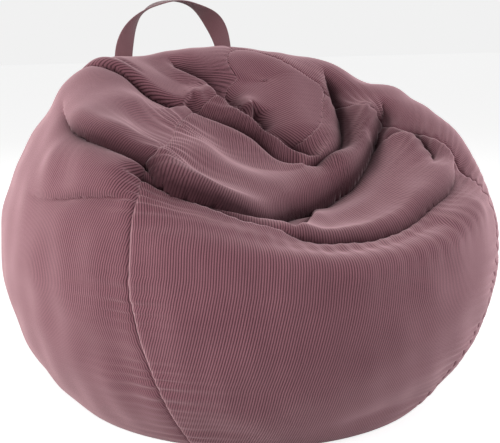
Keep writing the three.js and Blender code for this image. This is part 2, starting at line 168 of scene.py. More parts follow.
def panelAngles(height):
    # Angle of every column at the given heights, (columns, rows); three panels side by side.
    order = [("frontLeft", "frontRight", 0), ("frontRight", "back", 0), ("back", "frontLeft", 360)]
    share = (np.arange(grid["across"]) / grid["across"])[:, None]
    columns = []
    for i, (left, right, wrap) in enumerate(order):
        h = height[i * grid["across"]:(i + 1) * grid["across"]]
        columns.append(lerp(seamAngle(left, h), seamAngle(right, h) + wrap, share))
    return np.concatenate(columns)


def capReach(count):
    # The cap has a corner at each seam, and its front edge reaches down into the fold before it.
    share = (np.arange(count) % grid["across"]) / grid["across"]
    front = np.where(np.arange(count) < grid["across"], form["capFront"] * np.sin(np.pi * share) ** 2, 0)
    return form["capRadius"] + form["capCorner"] * np.cos(2 * np.pi * share) + front


def buildGrid():
    # Rows 0 to up-1 belong to the side panels and the rest to the cap, whose edge is row up-1.
    count = 3 * grid["across"]
    first = np.broadcast_to(np.linspace(0, 1, 300), (count, 300))
    points = plainPoint(panelAngles(first).ravel(), first.ravel()).reshape(count, 300, 3)
    far = np.linalg.norm(points - np.array(form["capCentre"]), axis=-1) - capReach(count)[:, None]
    last = 299 - np.argmax(far[:, ::-1] > 0, axis=1)
    edge = first[0, last]
    side = np.linspace(0, 1, grid["up"])[None] * edge[:, None]
    top = lerp(edge[:, None], 1.0, np.linspace(0, 1, grid["cap"] + 1)[None, 1:])
    height = np.concatenate([side, top], 1)
    phi = panelAngles(height)
    flat = plainPoint(phi.ravel(), height.ravel())
    return phi, height, flat.reshape(phi.shape + (3,))


def gridNormals(points):
    across = np.roll(points, -1, 0) - np.roll(points, 1, 0)
    along = np.gradient(points, axis=1)
    n = np.cross(across, along)
    n[:, -1] = n[:, -3].mean(0)
    n[:, -2] = n[:, -3].mean(0)
    return unit(n)


phiGrid, heightGrid, plain = buildGrid()
plainNormal = gridNormals(plain)
print("grid", plain.shape)


# folds
# A crease has an upper side that rolls over it and a lower side that dips towards it.
# upper  h = -drop (1 - q) + rise q exp(-(s / reach)^2), q a quarter ellipse over the first "round" metres
# lower  h = -drop exp(-s / dip)
# ridge, bulge  h = high exp(-(distance / wide)^2)
# painted crease shade, 0 to 1: darkest where a point lies deep in a fold, and also near creases and deep
# dents; it darkens the cloth's colour

def curveThrough(points, steps=10):
    # A smooth curve through control points, as a dense run of points.
    p = np.asarray(points, float)
    p = np.concatenate([2 * p[:1] - p[1:2], p, 2 * p[-1:] - p[-2:-1]])
    s = np.linspace(0, 1, steps, endpoint=False)[:, None]
    parts = []
    for i in range(1, len(p) - 2):
        a, b, c, d = p[i - 1], p[i], p[i + 1], p[i + 2]
        parts.append(0.5 * (2 * b + (c - a) * s + (2 * a - 5 * b + 4 * c - d) * s**2
                            + (3 * b - a - 3 * c + d) * s**3))
    parts.append(p[-2:-1])
    return np.concatenate(parts)


def distanceTo(points, normal, curve):
    # Distance to the curve, share along it, and the direction to its left, seen from outside.
    best = np.full(len(points), 1e9)
    share = np.zeros(len(points))
    side = np.zeros(len(points))
    lean = np.zeros_like(points)
    run = np.concatenate([[0], np.cumsum(np.linalg.norm(np.diff(curve, axis=0), axis=1))])
    run /= run[-1]
    for i in range(len(curve) - 1):
        a = curve[i]
        d = curve[i + 1] - a
        s = np.clip(((points - a) @ d) / (d @ d), 0, 1)
        offset = points - (a + s[:, None] * d)
        far = np.linalg.norm(offset, axis=1)
        near = np.flatnonzero(far < best)
        best[near] = far[near]
        share[near] = lerp(run[i], run[i + 1], s[near])
        left = unit(np.cross(normal[near], d))
        side[near] = np.sign((offset[near] * left).sum(1))
        lean[near] = left
    return best, share, side, lean


creases = [
    # path: (angle, height) pairs. upper: 1 if the side to the left of the path rolls over, -1 the right.
    # rise, drop: metres above and below the plain shape. over: how far the upper side leans across.
    # fades: the shares of the length over which it starts and ends
    # left panel, below its lowest roll
    dict(path=[(-92, 0.412), (-78, 0.416), (-66, 0.431), (-55, 0.440)], upper=1,
         rise=0.005, drop=0.009, round=0.020, reach=0.05, dip=0.010, over=0.004, fades=(0.6, 0.1)),
    # front lip, left of its lowest point, and then right of it
    dict(path=[(-60, 0.478), (-50, 0.486), (-42, 0.488), (-33, 0.482), (-26, 0.474), (-18, 0.468)], upper=-1,
         rise=0.002, drop=0.030, round=0.012, reach=0.04, dip=0.022, over=0.004, fades=(0.15, 0.3)),
    dict(path=[(-26, 0.480), (-12, 0.472), (0, 0.476), (10, 0.484), (21, 0.506), (31, 0.521), (44, 0.540),
               (56, 0.56)],
         upper=1, rise=0.004, drop=0.026, round=0.026, reach=0.05, dip=0.012, over=0.012, fades=(0.15, 0.3)),
    # under the big roll that runs from the left shoulder through the hollow to the right shoulder
    dict(path=[(-104, 0.585), (-94, 0.562), (-84, 0.545), (-75, 0.538), (-66, 0.538), (-56, 0.535),
               (-50, 0.515), (-44, 0.510), (-36, 0.525), (-28, 0.560), (-22, 0.595), (-17, 0.618),
               (-8, 0.636), (2, 0.655), (12, 0.674), (22, 0.688), (39, 0.723), (61, 0.752),
               (75, 0.755), (84, 0.725)],
         upper=1, rise=0.020, drop=0.036, round=0.034, reach=0.09, dip=0.018, over=0.018,
         fades=(0.20, 0.08)),
    # between the shoulder rolls, then over the top of the big roll
    dict(path=[(-119, 0.625), (-116, 0.670), (-112, 0.724), (-108, 0.750), (-102, 0.775), (-93, 0.792)],
         upper=1, rise=0.014, drop=0.018, round=0.020, reach=0.06, dip=0.018, over=0.010,
         fades=(0.35, 0.05)),
    dict(path=[(-98, 0.785), (-84, 0.792), (-72, 0.806), (-62, 0.810), (-40, 0.802), (-21, 0.766),
               (-4, 0.744), (6, 0.746)], upper=-1,
         rise=0.016, drop=0.034, round=0.026, reach=0.06, dip=0.016, over=0.014, fades=(0.06, 0.1)),
    # right of the cap
    dict(path=[(-10, 0.745), (0, 0.748), (13, 0.759), (32, 0.783), (58, 0.829), (75, 0.850), (98, 0.866),
               (113, 0.836)], upper=1,
         rise=0.012, drop=0.040, round=0.024, reach=0.045, dip=0.022, over=0.014, fades=(0.12, 0.2)),
    # round the left and front of the cap, behind the top roll
    dict(path=[(-150, 0.78), (-141, 0.812), (-134, 0.839), (-124, 0.862), (-111, 0.865), (-86, 0.867),
               (-61, 0.857), (-43, 0.846), (-31, 0.828), (-7, 0.806), (16, 0.767)], upper=-1,
         rise=0.016, drop=0.040, round=0.020, reach=0.035, dip=0.020, over=0.012, fades=(0.15, 0.1)),
    # a tuck at the lowest point of the lip, and one on the right shoulder
    dict(path=[(-2, 0.650), (-6, 0.593), (-14, 0.53), (-20, 0.48)], upper=1,
         rise=0.010, drop=0.016, round=0.014, reach=0.03, dip=0.012, over=0.006, fades=(0.1, 0.2)),
    dict(path=[(58, 0.736), (59, 0.714), (61, 0.692), (59, 0.660), (48, 0.610), (38, 0.568)], upper=-1,
         rise=0.006, drop=0.022, round=0.022, reach=0.04, dip=0.022, over=0.006, fades=(0.2, 0.4)),
    # the deep pocket left of the cap
    dict(path=[(-62, 0.925), (-55, 0.908), (-44, 0.893), (-36, 0.872), (-26, 0.845)], upper=-1,
         rise=0.012, drop=0.044, round=0.016, reach=0.03, dip=0.012, over=0.012, fades=(0.3, 0.3)),
    dict(path=[(-126, 0.679), (-120, 0.711), (-118, 0.751)], upper=1,
         rise=0.004, drop=0.006, round=0.012, reach=0.03, dip=0.012, over=0.002, fades=(0.4, 0.4)),
]

ridges = [
    # path of (angle, height) pairs, half width and height in metres: a negative one is a trough
    ([(-50, 0.462), (-40, 0.460), (-20, 0.440), (0, 0.446), (20, 0.470), (36, 0.500), (46, 0.520)],
     0.050, -0.030),
    ([(-58, 0.640), (-46, 0.655), (-34, 0.665), (-18, 0.685), (0, 0.705), (16, 0.725)], 0.055, 0.026),
    ([(-50, 0.412), (-40, 0.407), (-20, 0.400), (0, 0.408), (15, 0.425)], 0.024, -0.009),
    ([(-90, 0.680), (-76, 0.700), (-62, 0.700)], 0.055, 0.026),
    ([(-4, 0.565), (10, 0.580), (24, 0.605), (40, 0.640), (56, 0.670)], 0.045, 0.014),
    ([(17, 0.735), (42, 0.757), (67, 0.790), (78, 0.795)], 0.030, 0.018),
    ([(-60, 0.484), (-66, 0.487), (-80, 0.480)], 0.040, 0.010),
    ([(121, 0.952), (58, 0.936), (20, 0.860)], 0.050, 0.020),
    ([(-100, 0.83), (-75, 0.835), (-50, 0.828), (-25, 0.800)], 0.028, 0.016),
    ([(-92, 0.879), (-83, 0.883), (-69, 0.893), (-62, 0.900)], 0.012, 0.009),
    ([(-55, 0.427), (-42, 0.380), (-29, 0.365), (-10, 0.360), (9, 0.380), (30, 0.43)], 0.030, 0.007),
]

bulges = [
    # (angle, height, wide, high): a negative one is a dent
    (-116, 0.63, 0.075, 0.022), (-138, 0.79, 0.045, -0.020), (50, 0.50, 0.100, -0.008),
    (-46, 0.893, 0.018, -0.026), (-95, 0.90, 0.030, -0.012), (-68, 0.915, 0.022, 0.014),
    (118, 0.80, 0.045, 0.010), (100, 0.745, 0.030, -0.009), (92, 0.66, 0.045, 0.009),
    (58, 0.747, 0.018, -0.024), (10, 0.03, 0.120, -0.012),
]

foldsStartBy = 0.05
creaseReach = 0.19
# painted crease shade: the dip depth that gives full shade, the share of the shade near creases, how far
# that reaches, and the crease drop that gives it fully
creaseShadeBy = {"depth": 0.024, "share": 0.40, "reach": 0.055, "fullDrop": 0.036}
lumps = {"high": 0.0016, "size": 0.09, "count": 14, "seed": 4}
seamLook = {"deep": 0.0024, "wide": 0.0040, "pucker": 0.0044, "puckerReach": 0.040, "puckerStep": 0.020,
            "heldFlat": 0.007,
            "waveRate": 6.3, "drift": (1.7, 1.3), "fading": (0.6, 0.4, 0.83, 1.0), "startsBy": 0.03}


def softNoise(points, size, count, seed):
    # Smooth noise as a sum of waves in fixed, seeded directions, about -1 to 1.
    random = np.random.default_rng(seed)
    direction = unit(random.normal(size=(count, 3)))
    rate = 2 * np.pi / (size * random.uniform(0.6, 1.6, count))
    phase = random.uniform(0, 2 * np.pi, count)
    total = np.zeros(points.shape[:-1])
    for d, k, p in zip(direction, rate, phase):
        total += np.sin(points @ d * k + p)
    return total / math.sqrt(count)


def acrossAndAlong(points):
    # Distance from each panel's middle column along its row, and distance up each column.
    n = grid["across"]
    closed = np.concatenate([points, points[:1]])
    step = np.linalg.norm(np.diff(closed, axis=0), axis=-1)
    across = np.zeros(points.shape[:2])
    width = np.zeros(points.shape[:2])
    for k in range(3):
        run = np.concatenate([np.zeros((1, points.shape[1])), np.cumsum(step[k * n:(k + 1) * n], 0)])
        across[k * n:(k + 1) * n] = (run - run[n // 2])[:-1]
        width[k * n:(k + 1) * n] = np.minimum(run, run[-1] - run)[:-1]
    along = np.concatenate([np.zeros((points.shape[0], 1)),
                            np.cumsum(np.linalg.norm(np.diff(points, axis=1), axis=-1), 1)], 1)
    return across, width, along


clothAcross, seamDistance, clothAlong = acrossAndAlong(plain)


def foldedGrid():
    points = plain.reshape(-1, 3)
    normal = plainNormal.reshape(-1, 3)
    high = np.zeros(len(points))
    shift = np.zeros_like(points)
    deepest = np.zeros(len(points))
    highest = np.zeros(len(points))
    shaded = np.zeros(len(points))
    for angle, height, wide, rise in bulges:
        centre = plainPoint(angle, height)[0]
        far = np.linalg.norm(points - centre, axis=1)
        swell = np.exp(-(far / wide) ** 2)
        high += rise * swell
        # a dent deeper than 12 mm gets painted shade round it
        shaded = np.maximum(shaded, max(0, -rise - 0.012) / 0.016 * swell)
    for c in creases:
        angles, heights = zip(*c["path"])
        curve = curveThrough(plainPoint(angles, heights), 6)
        near = np.flatnonzero(np.min([((points - q) ** 2).sum(1) for q in curve[::6]], 0)
                              < creaseReach ** 2)
        far, share, side, left = distanceTo(points[near], normal[near], curve)
        fadeIn, fadeOut = c["fades"]
        fade = smooth(share / fadeIn) * smooth((1 - share) / fadeOut)
        upper = side * c["upper"] > 0
        q = np.sqrt(1 - (1 - np.clip(far / c["round"], 0, 1)) ** 2)
        dipped = np.where(upper, c["drop"] * (1 - q), c["drop"] * np.exp(-far / c["dip"]))
        raised = np.where(upper, c["rise"] * q * np.exp(-(far / c["reach"]) ** 2), 0)
        deepest[near] = np.maximum(deepest[near], dipped * fade)
        highest[near] = np.maximum(highest[near], raised * fade)
        # painted shade beside each crease, more for deeper creases, fading away from it
        shade = fade * c["drop"] / creaseShadeBy["fullDrop"] * np.exp(-far / creaseShadeBy["reach"])
        shaded[near] = np.maximum(shaded[near], shade)
        riding = np.where(upper, np.exp(-(far / (2 * c["round"])) ** 2), 0)
        shift[near] -= left * (c["upper"] * c["over"] * fade * riding)[:, None]
    for path, wide, rise in ridges:
        curve = curveThrough(plainPoint(*zip(*path)), 6)
        far = np.min([((points - q) ** 2).sum(1) for q in curve], 0)
        high += rise * np.exp(-far / wide ** 2)
    high += highest - deepest
    high += lumps["high"] * softNoise(points, lumps["size"], lumps["count"], lumps["seed"])
    low = smooth(points[:, 2] / foldsStartBy)
    folded = points + normal * (high * low)[:, None] + shift * low[:, None]
    # painted crease shade: dips in folds plus a share of the painted shade near creases and dents
    paintedCreaseShade = np.clip(deepest / creaseShadeBy["depth"] + creaseShadeBy["share"] * shaded, 0, 1) * low
    return (folded.reshape(plain.shape), (high * low).reshape(plain.shape[:2]),
            paintedCreaseShade.reshape(plain.shape[:2]))


def sewSeams(points):
    # Seams pull in, and the cloth beside them puckers in short waves across the seam.
    normal = gridNormals(points)
    toCap = np.abs(clothAlong - clothAlong[:, grid["up"] - 1:grid["up"]])
    along = clothAlong / seamLook["puckerStep"]
    driftSize, driftRate = seamLook["drift"]
    base, swing, rate, phase = seamLook["fading"]
    wave = (np.sin(along * seamLook["waveRate"] + driftSize * np.sin(along * driftRate))
            * (base + swing * np.sin(along * rate + phase)))
    beside = seamDistance.copy()
    beside[:, grid["up"]:] = 1.0
    held = 1 - 0.75 * np.exp(-beside / seamLook["heldFlat"])
    rise = wave * seamLook["pucker"] * np.exp(-beside / seamLook["puckerReach"]) * held
    groove = seamLook["deep"] * (np.exp(-beside / seamLook["wide"]) + np.exp(-toCap / seamLook["wide"]))
    start = smooth(points[..., 2] / seamLook["startsBy"])
    return points + normal * ((rise - groove) * start)[..., None]


folded, lift, paintedCreaseShade = foldedGrid()
folded = sewSeams(folded)
folded[..., 2] = np.maximum(folded[..., 2], 0.0)
foldedNormal = gridNormals(folded)
print("folded")


# meshes

def makeObject(name, vertices, faces, smoothShade=True):
    mesh = bpy.data.meshes.new(name)
    mesh.from_pydata(np.asarray(vertices).tolist(), [], [list(f) for f in faces])
    mesh.update()
    if smoothShade:
        mesh.shade_smooth()
    o = bpy.data.objects.new(name, mesh)
    bpy.context.scene.collection.objects.link(o)
    return o


def gridFaces(columns, rows, closeColumns=False):
    # Quads of a (columns, rows) grid, facing out when columns run to the right and rows run up.
    i = np.arange(columns if closeColumns else columns - 1)[:, None]
    j = np.arange(rows - 1)[None, :]
    k = (i + 1) % columns
    quads = np.stack([i * rows + j, k * rows + j, k * rows + j + 1, i * rows + j + 1], -1)
    return quads.reshape(-1, 4).tolist()


def shellObject(name, outer, normal, cloth, thick, closeColumns=False, pole=False, shade=None):
    # A closed sheet: the outer grid, the same moved inwards by thick, and the rims between them.
    columns, rows = outer.shape[:2]
    inner = outer - normal * thick
    faces = gridFaces(columns, rows, closeColumns)
    total = columns * rows
    back = [[f[0] + total, f[3] + total, f[2] + total, f[1] + total] for f in faces]
    vertices = [outer.reshape(-1, 3), inner.reshape(-1, 3)]
    coordinates = [cloth.reshape(-1, 3), cloth.reshape(-1, 3)]
    rim = []
    last = columns if closeColumns else columns - 1
    for i in range(last):
        k = (i + 1) % columns
        rim.append([k * rows, i * rows, i * rows + total, k * rows + total])
        if not pole:
            rim.append([i * rows + rows - 1, k * rows + rows - 1, k * rows + rows - 1 + total,
                        i * rows + rows - 1 + total])
    if not closeColumns:
        end = (columns - 1) * rows
        for j in range(rows - 1):
            rim.append([j, j + 1, j + 1 + total, j + total])
            rim.append([end + j + 1, end + j, end + j + total, end + j + 1 + total])
    if pole:
        vertices.append(np.array([outer[:, -1].mean(0) + normal[:, -1].mean(0) * 0.0002,
                                  inner[:, -1].mean(0) - normal[:, -1].mean(0) * 0.0002]))
        coordinates.append(np.repeat(cloth[:, -1].mean(0)[None], 2, 0))
        for i in range(columns):
            k = (i + 1) % columns
            rim.append([i * rows + rows - 1, k * rows + rows - 1, 2 * total])
            rim.append([k * rows + rows - 1 + total, i * rows + rows - 1 + total, 2 * total + 1])
    o = makeObject(name, np.concatenate(vertices), faces + back + rim)
    attribute = o.data.attributes.new("cloth", "FLOAT_VECTOR", "POINT")
    attribute.data.foreach_set("vector", np.concatenate(coordinates).astype(np.float32).ravel())
    # shade: painted crease shade, kept on each point for the material
    if shade is not None:
        atPoles = np.repeat(shade[:, -1].mean(), 2 if pole else 0)
        values = np.concatenate([shade.ravel(), shade.ravel(), atPoles])
        depth = o.data.attributes.new("paintedCreaseShade", "FLOAT", "POINT")
        depth.data.foreach_set("value", values.astype(np.float32))
    return o


def finishOnRoot(o, material, node):
    # Every soft piece of the bag rides the root and stands for one plain solid.
    o.data.materials.append(material)
    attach(o, "root")
    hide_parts(node)


# materials

def socketGroup(name, inputs, outputs):
    tree = bpy.data.node_groups.new(name, "ShaderNodeTree")
    for label, kind, value in inputs:
        item = tree.interface.new_socket(name=label, in_out="INPUT", socket_type=kind)
        if value is not None:
            item.default_value = value
    for label, kind in outputs:
        tree.interface.new_socket(name=label, in_out="OUTPUT", socket_type=kind)
    return tree, tree.nodes.new("NodeGroupInput"), tree.nodes.new("NodeGroupOutput")


def mathNode(tree, operation, a, b=None, clamp=False):
    node = tree.nodes.new("ShaderNodeMath")
    node.operation = operation
    node.use_clamp = clamp
    for socket, value in zip(node.inputs, (a, b)):
        if value is None:
            continue
        if isinstance(value, (int, float)):
            socket.default_value = value
        else:
            tree.links.new(value, socket)
    return node.outputs[0]


def noiseNode(tree, vector, scale, detail=3.0, roughness=0.55):
    node = tree.nodes.new("ShaderNodeTexNoise")
    node.inputs["Scale"].default_value = scale
    node.inputs["Detail"].default_value = detail
    node.inputs["Roughness"].default_value = roughness
    tree.links.new(vector, node.inputs["Vector"])
    return node.outputs["Fac"]


def mixColour(tree, factor, a, b, blend="MIX"):
    node = tree.nodes.new("ShaderNodeMix")
    node.data_type = "RGBA"
    node.blend_type = blend
    for socket, value in ((node.inputs[0], factor), (node.inputs[6], a), (node.inputs[7], b)):
        if isinstance(value, (int, float)):
            socket.default_value = value
        elif isinstance(value, tuple):
            socket.default_value = value
        else:
            tree.links.new(value, socket)
    return node.outputs[2]


def ribGroup():
    # rib = sqrt |sin(pi u / pitch)|: rounded ridges, narrow grooves. Pile is short streaks along them.
    tree, given, result = socketGroup(
        "corduroyRibs",
        [("Cloth", "NodeSocketVector", None), ("Pitch", "NodeSocketFloat", 0.0042),
         ("Depth", "NodeSocketFloat", 0.001), ("Waver", "NodeSocketFloat", 0.0006)],
        [("Rib", "NodeSocketFloat"), ("Pile", "NodeSocketFloat"), ("Normal", "NodeSocketVector")])
    split = tree.nodes.new("ShaderNodeSeparateXYZ")
    tree.links.new(given.outputs["Cloth"], split.inputs[0])
    slow = mathNode(tree, "SUBTRACT", noiseNode(tree, given.outputs["Cloth"], 14.0, 1.0), 0.5)
    u = mathNode(tree, "ADD", split.outputs[0], mathNode(tree, "MULTIPLY", slow, given.outputs["Waver"]))
    turn = mathNode(tree, "MULTIPLY", mathNode(tree, "DIVIDE", u, given.outputs["Pitch"]), math.pi)
    ridge = mathNode(tree, "SQRT", mathNode(tree, "ABSOLUTE", mathNode(tree, "SINE", turn)))
    stretch = tree.nodes.new("ShaderNodeMapping")
    stretch.inputs["Scale"].default_value = (1.0, 0.35, 1.0)
    tree.links.new(given.outputs["Cloth"], stretch.inputs["Vector"])
    pile = noiseNode(tree, stretch.outputs[0], 1400.0, 2.0, 0.7)
    height = mathNode(tree, "ADD", ridge, mathNode(tree, "MULTIPLY", pile, 0.25))
    bump = tree.nodes.new("ShaderNodeBump")
    bump.inputs["Strength"].default_value = 1.0
    tree.links.new(given.outputs["Depth"], bump.inputs["Distance"])
    tree.links.new(height, bump.inputs["Height"])
    tree.links.new(ridge, result.inputs["Rib"])
    tree.links.new(pile, result.inputs["Pile"])
    tree.links.new(bump.outputs[0], result.inputs["Normal"])
    return tree


def brushGroup():
    # Broad patches where the pile lies another way.
    tree, given, result = socketGroup(
        "pileBrushing", [("Object", "NodeSocketVector", None), ("Size", "NodeSocketFloat", 7.0)],
        [("Patch", "NodeSocketFloat")])
    broad = tree.nodes.new("ShaderNodeTexNoise")
    broad.inputs["Detail"].default_value = 5.0
    broad.inputs["Roughness"].default_value = 0.6
    tree.links.new(given.outputs["Object"], broad.inputs["Vector"])
    tree.links.new(given.outputs["Size"], broad.inputs["Scale"])
    tree.links.new(broad.outputs["Fac"], result.inputs["Patch"])
    return tree


ribs = ribGroup()
brushing = brushGroup()


def newMaterial(name):
    material = bpy.data.materials.new(name)
    material.use_nodes = True
    tree = material.node_tree
    return material, tree, tree.nodes["Principled BSDF"]


# the colour list includes a painted sheen colour for grazing angles and the strength of the painted crease
# shade
corduroyLook = {
    "groove": (0.034, 0.0100, 0.0145, 1), "rib": (0.262, 0.112, 0.139, 1),
    "brushed": (0.330, 0.150, 0.182, 1), "paintedSheen": (0.70, 0.430, 0.470, 1),
    "pitch": 0.0042, "depth": 0.0011, "sheen": 0.20, "sheenRoughness": 0.30,
    "sheenTint": (0.95, 0.70, 0.75, 1), "roughness": 0.92, "creaseShadeAmount": 0.92,
}


def corduroyMaterial():
    material, tree, shader = newMaterial("corduroy")
    cloth = tree.nodes.new("ShaderNodeAttribute")
    cloth.attribute_name = "cloth"
    place = tree.nodes.new("ShaderNodeTexCoord")
    rib = tree.nodes.new("ShaderNodeGroup")
    rib.node_tree = ribs
    rib.inputs["Pitch"].default_value = corduroyLook["pitch"]
    rib.inputs["Depth"].default_value = corduroyLook["depth"]
    tree.links.new(cloth.outputs["Vector"], rib.inputs["Cloth"])
    brush = tree.nodes.new("ShaderNodeGroup")
    brush.node_tree = brushing
    tree.links.new(place.outputs["Object"], brush.inputs["Object"])
    patch = mathNode(tree, "MULTIPLY_ADD", brush.outputs["Patch"], 2.2)
    patch.node.inputs[2].default_value = -0.6
    patch.node.use_clamp = True
    top = mixColour(tree, patch, corduroyLook["rib"], corduroyLook["brushed"])
    streak = mathNode(tree, "MULTIPLY_ADD", rib.outputs["Pile"], 0.9)
    streak.node.inputs[2].default_value = 0.55
    tone = tree.nodes.new("ShaderNodeHueSaturation")
    tree.links.new(top, tone.inputs["Color"])
    tree.links.new(streak, tone.inputs["Value"])
    # painted sheen: towards grazing angles the colour turns a pale pink, a velvet sheen painted into the
    # base colour on top of the shader's own sheen
    facing = tree.nodes.new("ShaderNodeLayerWeight")
    facing.inputs["Blend"].default_value = 0.5
    paintedSheenMask = mathNode(tree, "POWER", facing.outputs["Facing"], 1.9)
    show = mathNode(tree, "SUBTRACT", 1.0, mathNode(tree, "POWER", facing.outputs["Facing"], 2.5))
    front = mathNode(tree, "POWER", mathNode(tree, "SUBTRACT", 1.0, facing.outputs["Facing"]), 1.2)
    tree.links.new(mathNode(tree, "MULTIPLY", front, corduroyLook["depth"]), rib.inputs["Depth"])
    # grooves darken towards the groove colour, faded at grazing angles: partly the ground weave's own darker
    # colour, partly painted shade in the narrow grooves
    groove = mathNode(tree, "SUBTRACT", 1.0, mathNode(tree, "POWER", rib.outputs["Rib"], 1.6))
    groove = mathNode(tree, "MULTIPLY", groove, show)
    colourWithPaintedSheen = mixColour(tree, paintedSheenMask, tone.outputs[0], corduroyLook["paintedSheen"])
    ribbed = mixColour(tree, groove, colourWithPaintedSheen, corduroyLook["groove"])
    # painted shade: in folds, creases and deep dents the colour is darkened towards the groove colour
    creaseShadeNode = tree.nodes.new("ShaderNodeAttribute")
    creaseShadeNode.attribute_name = "paintedCreaseShade"
    creaseShadeAmount = mathNode(tree, "MULTIPLY", mathNode(tree, "POWER", creaseShadeNode.outputs["Fac"], 1.4),
                       corduroyLook["creaseShadeAmount"])
    colour = mixColour(tree, creaseShadeAmount, ribbed, corduroyLook["groove"])
    tree.links.new(colour, shader.inputs["Base Color"])
    tree.links.new(rib.outputs["Normal"], shader.inputs["Normal"])
    shader.inputs["Roughness"].default_value = corduroyLook["roughness"]
    shader.inputs["Specular IOR Level"].default_value = 0.15
    shader.inputs["Sheen Weight"].default_value = corduroyLook["sheen"]
    shader.inputs["Sheen Roughness"].default_value = corduroyLook["sheenRoughness"]
    shader.inputs["Sheen Tint"].default_value = corduroyLook["sheenTint"]
    return material


def plainMaterial(name, colour, roughness=0.8, metallic=0.0, sheen=0.0):
    material, tree, shader = newMaterial(name)
    place = tree.nodes.new("ShaderNodeTexCoord")
    grain = noiseNode(tree, place.outputs["Object"], 60.0, 4.0)
    low = tuple(c * 0.82 for c in colour[:3]) + (1,)
    high = tuple(min(1, c * 1.12) for c in colour[:3]) + (1,)
    tree.links.new(mixColour(tree, grain, low, high), shader.inputs["Base Color"])
    shader.inputs["Roughness"].default_value = roughness
    shader.inputs["Metallic"].default_value = metallic
    shader.inputs["Sheen Weight"].default_value = sheen
    return material


def wovenMaterial(name, colour, pitch=(0.0011, 0.0016), depth=0.0004, sheen=0.3):
    # over = sin(pi u / a) sin(pi v / b): crossing threads on the piece's own cloth coordinates.
    material, tree, shader = newMaterial(name)
    cloth = tree.nodes.new("ShaderNodeAttribute")
    cloth.attribute_name = "cloth"
    split = tree.nodes.new("ShaderNodeSeparateXYZ")
    tree.links.new(cloth.outputs["Vector"], split.inputs[0])
    waves = []
    for axis, size in zip((0, 1), pitch):
        turn = mathNode(tree, "MULTIPLY", split.outputs[axis], math.pi / size)
        waves.append(mathNode(tree, "SINE", turn))
    over = mathNode(tree, "MULTIPLY", waves[0], waves[1])
    height = mathNode(tree, "MULTIPLY_ADD", over, 0.5)
    height.node.inputs[2].default_value = 0.5
    bump = tree.nodes.new("ShaderNodeBump")
    bump.inputs["Distance"].default_value = depth
    tree.links.new(height, bump.inputs["Height"])
    low = tuple(c * 0.55 for c in colour[:3]) + (1,)
    high = tuple(min(1, c * 1.25) for c in colour[:3]) + (1,)
    tree.links.new(mixColour(tree, height, low, high), shader.inputs["Base Color"])
    tree.links.new(bump.outputs[0], shader.inputs["Normal"])
    shader.inputs["Roughness"].default_value = 0.85
    shader.inputs["Specular IOR Level"].default_value = 0.2
    shader.inputs["Sheen Weight"].default_value = sheen
    return material


corduroy = corduroyMaterial()
webbing = wovenMaterial("webbing", (0.265, 0.125, 0.142))
linerCloth = plainMaterial("linerCotton", (0.78, 0.75, 0.69))
beads = plainMaterial("beads", (0.86, 0.86, 0.84))
zipTape = plainMaterial("zipTape", (0.12, 0.055, 0.065))
zipCoil = plainMaterial("zipCoil", (0.075, 0.034, 0.042), 0.45)
paleZip = plainMaterial("paleZip", (0.66, 0.62, 0.56), 0.6)
nickel = plainMaterial("nickel", (0.62, 0.60, 0.57), 0.32, 1.0)
threadLook = plainMaterial("thread", (0.13, 0.058, 0.070), 0.6, 0.0, 0.4)
labelLook = plainMaterial("label", (0.83, 0.81, 0.78), 0.5)
print("materials")


# the cover

clothGrid = np.stack([clothAcross, clothAlong, np.zeros_like(clothAcross)], -1)
coverLook = {"thick": 0.0022, "liner": 0.010, "linerThick": 0.0008, "linerFloor": 0.009, "filling": 0.016}
n = grid["across"]
sideRows = grid["up"]


def panelColumns(k):
    return np.arange(k * n, (k + 1) * n + 1) % (3 * n)


def openBack(points, k):
    # The two panels that meet at the back stand apart beside the zip.
    columns = panelColumns(k)
    part = points[columns].copy()
    edge = {1: -1, 2: 0}.get(k)
    if edge is None:
        return part
    sign = 1 if k == 1 else -1
    line = part[edge]
    angle = np.degrees(np.arctan2(line[:, 2] - form["wallCentre"][1], line[:, 1] - form["wallCentre"][0]))
    low, high = grid["zipEnds"]
    opened = smooth(np.minimum(angle - low + 4, high + 4 - angle) / 4) * (line[:, 1] > 0)
    reach = np.exp(-np.abs(part[:, :, 0]) / 0.02)
    part[:, :, 0] += sign * grid["zipSlot"] * reach * opened[None, :]
    return part


panelNames = ["cover_front_panel", "cover_right_panel", "cover_left_panel"]
coverPieces = []
for k, name in enumerate(panelNames):
    outer = openBack(folded, k)[:, :sideRows]
    columns = panelColumns(k)
    cloth = clothGrid[columns][:, :sideRows].copy()
    cloth[-1, :, 0] = 2 * cloth[-2, :, 0] - cloth[-3, :, 0]
    o = shellObject(name + "_cloth", outer, foldedNormal[columns][:, :sideRows], cloth, coverLook["thick"],
                    shade=paintedCreaseShade[columns][:, :sideRows])
    finishOnRoot(o, corduroy, name)
    coverPieces.append(o)

capPoints = folded[:, sideRows - 1:]
capNormal = foldedNormal[:, sideRows - 1:]
capMiddle = np.array(form["capCentre"])
capAlong = unit(np.array([0.47, -0.77, -0.54]))
capAcross = unit(np.cross(capAlong, np.array([0, -form["capSlope"], 1.0])))
capCloth = np.stack([(plain[:, sideRows - 1:] - capMiddle) @ capAcross,
                     (plain[:, sideRows - 1:] - capMiddle) @ capAlong,
                     np.zeros(capPoints.shape[:2])], -1)
cap = shellObject("cover_top_cap_cloth", capPoints[:, :-1], capNormal[:, :-1], capCloth[:, :-1],
                  coverLook["thick"], True, True, paintedCreaseShade[:, sideRows - 1:-1])
finishOnRoot(cap, corduroy, "cover_top_cap")
coverPieces.append(cap)

